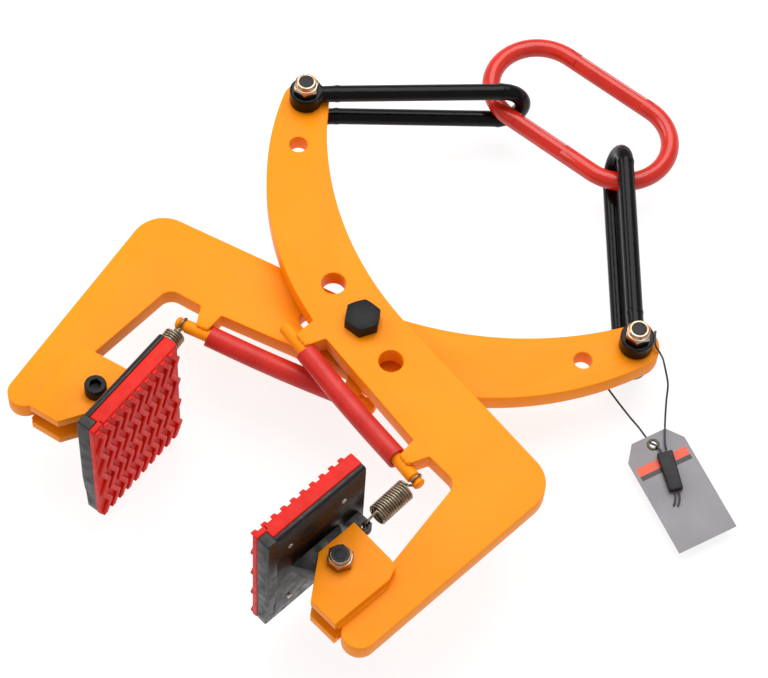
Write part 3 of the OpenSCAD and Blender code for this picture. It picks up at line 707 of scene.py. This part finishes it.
def lock_ring(node, radius, way, body):
    """Black nylon ring in the collar of a locking nut, round the end of its bolt."""
    thick, proud = 0.5, 0.05
    corners = [frame["nodes"][node].matrix_world @ Vector(c)
               for c in frame["nodes"][node].bound_box]
    low = Vector([min(c[i] for c in corners) for i in range(3)])
    high = Vector([max(c[i] for c in corners) for i in range(3)])
    piece = new_shape(bpy.ops.mesh.primitive_cylinder_add, vertices=56, radius=radius * MM,
                      depth=thick * MM)
    piece.location = (low + high) / 2
    piece.location.z = (high.z if way > 0 else low.z) + way * proud * MM
    round_edges(piece, 0.2, 40)
    finish_piece(piece, "lock_ring_of_" + node, PLASTIC, body)


for node, radius, way, body in (("jaw_nut_a", 6.7, 1, "arm_a"), ("jaw_nut_b", 6.7, -1, "arm_b"),
                                ("link_nut_a", 5.7, 1, "arm_a"), ("link_nut_b", 5.7, 1, "arm_b"),
                                ("pivot_nut", 9.4, -1, "arm_a")):
    lock_ring(node, radius, way, body)


def forged_ring():
    """The master link: round bar whose long sides were pressed flat by the hammer."""
    flat_at, cut_width, cut_depth = 0.88 * RING_BAR_R, 20, 8
    piece = copy_of("master_link")
    for side, first, last in ((1, -31, 33), (-1, -33, 12)):
        for lean in (48, -42):
            cutter = new_shape(bpy.ops.mesh.primitive_cube_add, size=MM)
            cutter.scale = (last - first, cut_width, cut_depth)
            turn = Matrix.Rotation(math.radians(lean), 3, "X")
            out = turn @ Vector((0, 0, 1))
            cutter.rotation_euler = turn.to_euler()
            middle = Vector((RING[0] + (first + last) / 2, RING[1] + side * RING_R, RING[2]))
            cutter.location = at(*(middle + out * (flat_at + cut_depth / 2)))
            bpy.context.view_layer.update()
            apply_modifier(piece, "BOOLEAN", operation="DIFFERENCE", object=cutter,
                           solver="EXACT")
            bpy.data.objects.remove(cutter)
    round_edges(piece, 0.35, 20)
    return finish_piece(piece, "master_link_finished", RED, "master_link",
                        "master_link", 50)


forged_ring()


def forged_link(side):
    """A link whose legs run into their eyes in one smooth forging."""
    piece = copy_of("link_" + side)
    apply_modifier(piece, "REMESH", mode="VOXEL", voxel_size=0.75 * MM)
    apply_modifier(piece, "SMOOTH", factor=0.5, iterations=6)
    return finish_piece(piece, f"link_{side}_finished", LACQUER, "link_" + side,
                        "link_" + side, 60)


for side in "ab":
    forged_link(side)


# Handle sleeves

def sleeve(side):
    """A length of hose on the rod: it bows a little away from the arm, and its ends are cut
    aslant."""
    start, end, radius, wall = -19.6, 91.5, 8, 2.3
    bow, steps, trim = 1.2, 40, 1.2
    slant = Vector((0, 0, 0.18))
    line = []
    for i in range(steps + 1):
        t = i / steps
        line.append(at_rod(start + (end - start) * t, -bow * math.sin(math.pi * t), ARM_T / 2,
                           side))
    piece = as_mesh(tube("sleeve", line, radius, turns=10))
    edit_all(piece)
    axis = (line[-1] - line[0]).normalized()
    for point, outward in ((line[0] + axis * trim * MM, -axis),
                           (line[-1] - axis * trim * MM, axis)):
        bpy.ops.mesh.select_all(action="SELECT")
        bpy.ops.mesh.bisect(plane_co=point, plane_no=outward + slant, clear_outer=True,
                            use_fill=False)
    close_edit()
    apply_modifier(piece, "SOLIDIFY", thickness=wall * MM, offset=-1)
    round_edges(piece, 0.35, 40)
    return finish_piece(piece, "sleeve_" + side, HOSE, "arm_" + side,
                        "handle_sleeve_" + side)


for side in "ab":
    sleeve(side)


# Pads

PAD_LEN, RUBBER_H, RUBBER_T = 92, 120, 4.7
TREAD_COUNT, TREAD_H, TREAD_ROOT, TREAD_STEPS = 10, 2.5, 0.4, 8
BACK, FRONT = -23, -34
LIP, LIP_REACH = 5.5, 6.4
BARE_END = 9


def push_out(piece, push):
    """Makes an outline a solid, by a push along a way."""
    edit_all(piece)
    bpy.ops.mesh.extrude_region_move(TRANSFORM_OT_translate={"value": push})
    bpy.ops.mesh.select_all(action="SELECT")
    bpy.ops.mesh.normals_make_consistent(inside=False)
    close_edit()


def tread_bar(side, number):
    """One zigzag bar of the tread, drawn as an outline and pushed out of the face."""
    pitch = (PAD_LEN - 3) / TREAD_COUNT
    half, swing = 0.25 * pitch, 0.38 * pitch
    middle = (number + 0.5 - TREAD_COUNT / 2) * pitch
    reach = RUBBER_H / 2 - 1
    face = FRONT - RUBBER_T + TREAD_ROOT
    piece = new_shape(bpy.ops.mesh.primitive_grid_add, x_subdivisions=1,
                      y_subdivisions=TREAD_STEPS, size=1)
    for v in piece.data.vertices:
        row = round((v.co.y + 0.5) * TREAD_STEPS)
        z = max(-reach, min(reach, (row / TREAD_STEPS - 0.5) * RUBBER_H))
        along = middle + (half if v.co.x > 0 else -half) + (-swing if row % 2 == 0 else swing)
        v.co = at_pad(face, along, z, side)
    push_out(piece, at_pad(face - TREAD_H - TREAD_ROOT, 0, 0, side) - at_pad(face, 0, 0, side))
    round_edges(piece, 0.7, 50, 3)
    return piece


def pad_block(side, outline, start, end, width):
    """A length of a side profile along the pad, with its edges rounded over."""
    piece = new_shape(bpy.ops.mesh.primitive_circle_add, vertices=len(outline),
                      fill_type="NGON")
    for v, (back, z) in zip(piece.data.vertices, outline):
        v.co = at_pad(back, start, z, side)
    push_out(piece, at_pad(0, end, 0, side) - at_pad(0, start, 0, side))
    round_edges(piece, width, 50, 4)
    return piece


def rubber_pad(side):
    """The moulded face: a slab, lips over the backing except at the tip, and its tread."""
    half, end, edge = RUBBER_H / 2, PAD_LEN / 2, 1.1
    inner, face = half - LIP, FRONT - RUBBER_T
    lips = [(FRONT, inner), (FRONT + LIP_REACH, inner), (FRONT + LIP_REACH, half),
            (face, half), (face, -half), (FRONT + LIP_REACH, -half),
            (FRONT + LIP_REACH, -inner), (FRONT, -inner)]
    slab = [(FRONT, half), (face, half), (face, -half), (FRONT, -half)]
    piece = pad_block(side, lips, BARE_END - end, end, edge)
    tip = pad_block(side, slab, -end, BARE_END - end + 3, edge)
    joined(piece, [tip] + [tread_bar(side, i) for i in range(TREAD_COUNT)])
    return finish_piece(piece, "rubber_" + side, RUBBER, "pad_" + side,
                        "pad_rubber_" + side)


def steel_backing(side):
    """The backing plate behind the lips, thinner towards its lower edge, and the whole of
    its thickness at the tip, where the rubber has no lips."""
    half, end, edge = RUBBER_H / 2, PAD_LEN / 2, 0.6
    behind = FRONT + LIP_REACH + 0.05
    piece = copy_of("pad_backing_" + side)
    round_edges(piece, 0.7, 32)
    whole = [(FRONT + 0.02, half), (BACK - 0.6, half), (BACK + 0.03, half - 1.5),
             (BACK + 0.03, 0), (BACK - 2.6, -half), (FRONT + 0.02, -half)]
    tip = pad_block(side, whole, 0.6 - end, BARE_END - 0.1 - end, edge)
    rear = [(behind, half), (BACK - 1.5, half), (BACK + 0.02, half - 1.5),
            (BACK + 0.02, -0.35 * half), (BACK - 0.8, -0.62 * half), (BACK - 2.5, -half),
            (behind, -half)]
    slab = pad_block(side, rear, BARE_END - 0.5 - end, end - 0.5, edge)
    joined(piece, [tip, slab])
    return finish_piece(piece, "steel_backing_" + side, PAINT, "pad_" + side,
                        "pad_backing_" + side)


for side in "ab":
    rubber_pad(side)
    steel_backing(side)


# Springs

EAR = (-12.5, 35.5)
WIRE, COIL_R, COIL_STEPS = 2.0, 7.0, 24
COIL_GAP = 0.12
HOOK_R, LOOP_R = 5, 4.85
HOOKS_LEN, LOOP_LEN = 22, 10


def spring_line(span):
    """A spring's wire along x, from its hook in the ear to its loop on the neck."""
    pitch = WIRE + COIL_GAP
    turns = math.floor((span - HOOKS_LEN) / pitch)
    start = span - LOOP_LEN - turns * pitch
    end = start + turns * pitch
    line = []
    for step in range(24):
        a = math.radians(215 - step * 9.35)
        line.append((HOOK_R - HOOK_R * math.sin(a), 0, HOOK_R * math.cos(a)))
    line.append((start - 1.6, 0, COIL_R - 0.5))
    for i in range(turns * COIL_STEPS + 1):
        a = math.radians(90 + 360 * i / COIL_STEPS)
        line.append((start + pitch * i / COIL_STEPS, COIL_R * math.cos(a),
                     COIL_R * math.sin(a)))
    line += [(end + 1.0, 0.6, COIL_R * 0.7), (end + 2.2, 0.3, COIL_R * 0.25)]
    for step in range(28):
        a = math.radians(200 + step * 11.5)
        line.append((span + LOOP_R * math.cos(a), 0, LOOP_R * math.sin(a)))
    return line


def spring(side):
    """Close-wound spring, hooked through the pad's ear and looped on the rod's neck."""
    ear = Vector(turned(*EAR, PAD_LEAN[side])) + Vector(JAW)
    neck = Vector(turned(ROD_NECK, 0, ROD_SLOPE)) - Vector((0, ROD_DROP))
    along = (neck - ear).normalized()
    across = Vector((-along.y, along.x))
    points = []
    for x, y, z in spring_line((neck - ear).length):
        place = ear + along * x + across * y
        points.append(at(place.x, place.y, ARM_T / 2 + z, side))
    piece = as_mesh(tube("spring", points, WIRE / 2, turns=3))
    piece.name = "spring_" + side
    bpy.ops.object.shade_smooth()
    piece.data.materials.append(SPRING)
    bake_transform(piece)
    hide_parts("return_spring_" + side)


for side in "ab":
    spring(side)


# Welds

CHEEK_EDGE = ((34.4, 9), (31.4, -14), (28, -38))
CHEEK_SEED = {"a": 3, "b": 9}
ROD_SEED_STEP = 20


def weld(name, points, radius, body, seed):
    """A painted weld bead: overlapping ripples along a joint, fading at both ends."""
    ripple, ripple_turn, uneven, spacing = 0.09, 1.35, 0.05, 0.7
    draw = random.Random(seed)
    steps = int(line_length(points) / MM / (len(points) - 1) / spacing)
    line = smooth_line(points, max(2, steps))
    count = len(line)
    widths = []
    for i in range(count):
        fade = min(1.0, 0.35 + 4.0 * min(i, count - 1 - i) / count)
        wave = ripple * math.sin(i * ripple_turn)
        widths.append(fade * (1 + wave + draw.uniform(-uneven, uneven)))
    piece = as_mesh(tube(name, line, radius, widths))
    apply_modifier(piece, "SMOOTH", factor=0.4, iterations=2)
    return finish_piece(piece, name, ENAMEL, body, angle=70)


for side in "ab":
    body, seed = "arm_" + side, CHEEK_SEED[side]
    for name, z, lift in (("upper", ARM_T, 5.3), ("lower", 0, -5.3)):
        edge = [at(JAW[0] + x, JAW[1] + y, z, side) for x, y in CHEEK_EDGE]
        weld(f"cheek_weld_{name}_{side}", edge, 1.6, body, seed)
        for spot, first, last in (("web", 91, 101.8), ("foot", -31.2, -18)):
            joint = [at_rod(first + (last - first) * k / 2, 2.4, ARM_T / 2 + lift, side)
                     for k in range(3)]
            weld(f"{spot}_weld_{name}_{side}", joint, 2.6, body, seed + ROD_SEED_STEP)


# Bench and light

def bench():
    """Pale bench top, at the slope on which the clamp lies."""
    top = new_shape(bpy.ops.mesh.primitive_plane_add, size=12)
    top.name = "bench_top"
    top.rotation_euler = floor_turn().to_euler()
    top.location = at(0, 0, FLOOR_LEVEL - SWING_ROOM)
    made, tree, shader, _ = new_material("pale_bench")
    dress(tree, shader, colour=linear("#8a8a8a"), rough=0.9, shine=0.0)
    shader.inputs["Emission Color"].default_value = linear("#ffffff")
    shader.inputs["Emission Strength"].default_value = 0.8
    top.data.materials.append(made)


def lamp(name, place, size, power):
    """A softbox that faces the middle of the frame."""
    data = bpy.data.lights.new(name, "AREA")
    data.shape = "RECTANGLE"
    data.size, data.size_y = size
    data.energy = power
    piece = bpy.data.objects.new(name, data)
    bpy.context.scene.collection.objects.link(piece)
    piece.location = Vector(place)
    piece.rotation_euler = Vector(place).to_track_quat("Z", "Y").to_euler()


def light_room():
    """Soft white room with a broad overhead softbox and a weaker one at the side."""
    world = bpy.data.worlds.new("room")
    bpy.context.scene.world = world
    world.use_nodes = True
    back = world.node_tree.nodes["Background"]
    back.inputs["Color"].default_value = linear("#ffffff")
    back.inputs["Strength"].default_value = 0.6
    lamp("softbox_over", (-0.5, 0.9, 2.4), (2.2, 2.2), 62)
    lamp("softbox_side", (-2.2, -0.6, 1.5), (1.6, 1.2), 22)


bench()
light_room()
bpy.context.scene.view_settings.view_transform = "Standard"
